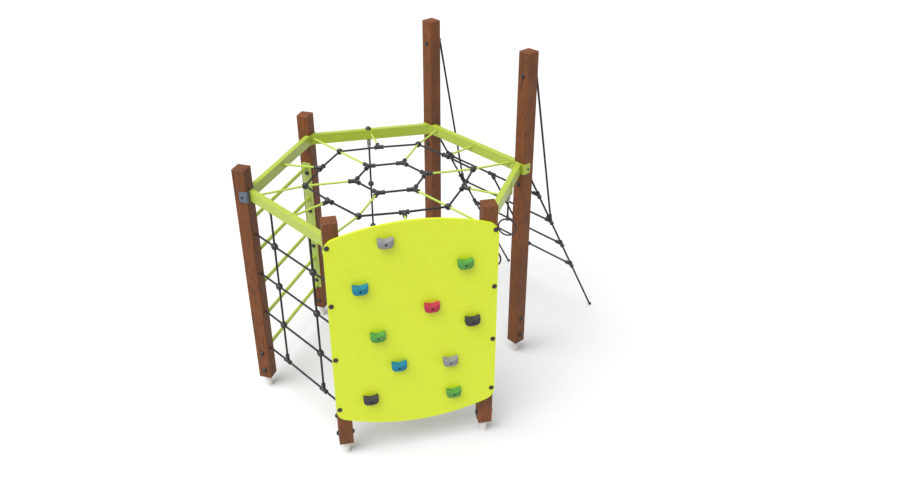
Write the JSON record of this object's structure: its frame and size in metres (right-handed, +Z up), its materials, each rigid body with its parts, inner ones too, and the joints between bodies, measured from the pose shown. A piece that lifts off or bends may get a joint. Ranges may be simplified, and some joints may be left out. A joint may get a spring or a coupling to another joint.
{
  "type": "playground climbing wall",
  "caption": "Hexagonal play climber on posts: climbing panel with holds, side net, ladder, rope web, inclined net, knotted rope and hand rings.",
  "frame": {"origin": "on the ground, under the middle of the whole object's box", "axes": "+Z up, the climbing panel faces -Y, the inclined net runs out towards +X and +Y"},
  "size_m": [2.9124, 2.341, 2.532],
  "materials": {
    "post_wood": "oiled brown softwood",
    "foot_steel": "galvanised and pale painted tube",
    "lime_paint": "lime green powder coat",
    "pale_green_paint": "pale green powder coat",
    "panel_plastic": "lime green sheet plastic, satin",
    "dark_caps": "black domed caps",
    "hold_grey": "grey cast resin, fine grain",
    "hold_green": "green cast resin, fine grain",
    "hold_blue": "blue cast resin, fine grain",
    "hold_red": "red cast resin, fine grain",
    "hold_charcoal": "charcoal cast resin, fine grain",
    "bolt_steel": "plain steel",
    "black_rope": "twisted black rope",
    "green_rope": "twisted lime green rope",
    "black_plastic": "black moulded plastic"
  },
  "bodies": {
    "climber_frame": {"post_a": "post_wood", "post_b": "post_wood", "post_c": "post_wood", "post_d": "post_wood", "post_e": "post_wood", "post_f": "post_wood", "foot_tubes": "foot_steel", "foot_bolts": "dark_caps", "beam_ab": "lime_paint", "beam_bf": "lime_paint", "beam_fe": "lime_paint", "beam_ed": "lime_paint", "beam_dc": "lime_paint", "beam_ca": "lime_paint", "beam_brackets": "pale_green_paint", "bracket_screws": "dark_caps", "climbing_panel": "panel_plastic", "panel_bolts": "dark_caps", "holds_grey": "hold_grey", "holds_green": "hold_green", "holds_blue": "hold_blue", "holds_red": "hold_red", "holds_charcoal": "hold_charcoal", "hold_bolts": "bolt_steel", "net_uprights": "black_rope", "net_rungs": "black_rope", "net_connectors": "black_plastic", "ladder_plate_c": "pale_green_paint", "ladder_plate_d": "pale_green_paint", "ladder_rungs": "lime_paint", "ladder_bolts": "dark_caps", "web_outer_ropes": "black_rope", "web_inner_ropes": "black_rope", "web_radial_ropes": "green_rope", "web_short_ropes": "green_rope", "web_balls": "black_plastic", "web_tees": "black_plastic", "web_wyes": "black_plastic", "web_eyelets": "lime_paint", "ramp_side_ropes": "black_rope", "ramp_inner_ropes": "black_rope", "ramp_stay_ropes": "black_rope", "ramp_connectors": "black_plastic", "ramp_eye_bolts": "dark_caps", "ramp_thimbles": "bolt_steel", "ramp_ground_plugs": "black_plastic", "rope_hanger": "dark_caps", "ring_hangers": "pale_green_paint"},
    "rope_swing_link": {"rope_swivel": "bolt_steel"},
    "rope_drop": {"rope_ferrule": "bolt_steel", "climbing_rope": "black_rope", "rope_knots": "black_plastic"},
    "ring_link_1": {"ring_swivel_1": "bolt_steel"},
    "ring_drop_1": {"ring_ferrule_1": "bolt_steel", "ring_rope_1": "black_rope", "hand_ring_1": "black_plastic"},
    "ring_link_2": {"ring_swivel_2": "bolt_steel"},
    "ring_drop_2": {"ring_ferrule_2": "bolt_steel", "ring_rope_2": "black_rope", "hand_ring_2": "black_plastic"}
  },
  "joints": [
    {"name": "rope_side_swing", "type": "hinge", "parent": "climber_frame", "child": "rope_swing_link", "pos_m": [-0.41142, 0.6475, 1.612], "axis": [0, 1, 0], "range_deg": [-12, 12]},
    {"name": "rope_in_out_swing", "type": "hinge", "parent": "rope_swing_link", "child": "rope_drop", "pos_m": [-0.41142, 0.6475, 1.589], "axis": [1, 0, 0], "range_deg": [-30, 30]},
    {"name": "ring_side_swing_1", "type": "hinge", "parent": "climber_frame", "child": "ring_link_1", "pos_m": [0.41496, -0.46685, 1.606], "axis": [0.866, -0.5, 0], "range_deg": [-15, 15]},
    {"name": "ring_in_out_swing_1", "type": "hinge", "parent": "ring_link_1", "child": "ring_drop_1", "pos_m": [0.41496, -0.46685, 1.583], "axis": [-0.5, -0.866, 0], "range_deg": [-35, 35]},
    {"name": "ring_side_swing_2", "type": "hinge", "parent": "climber_frame", "child": "ring_link_2", "pos_m": [0.19196, -0.8531, 1.606], "axis": [0.866, -0.5, 0], "range_deg": [-15, 15]},
    {"name": "ring_in_out_swing_2", "type": "hinge", "parent": "ring_link_2", "child": "ring_drop_2", "pos_m": [0.19196, -0.8531, 1.583], "axis": [-0.5, -0.866, 0], "range_deg": [-35, 35]}
  ]
}
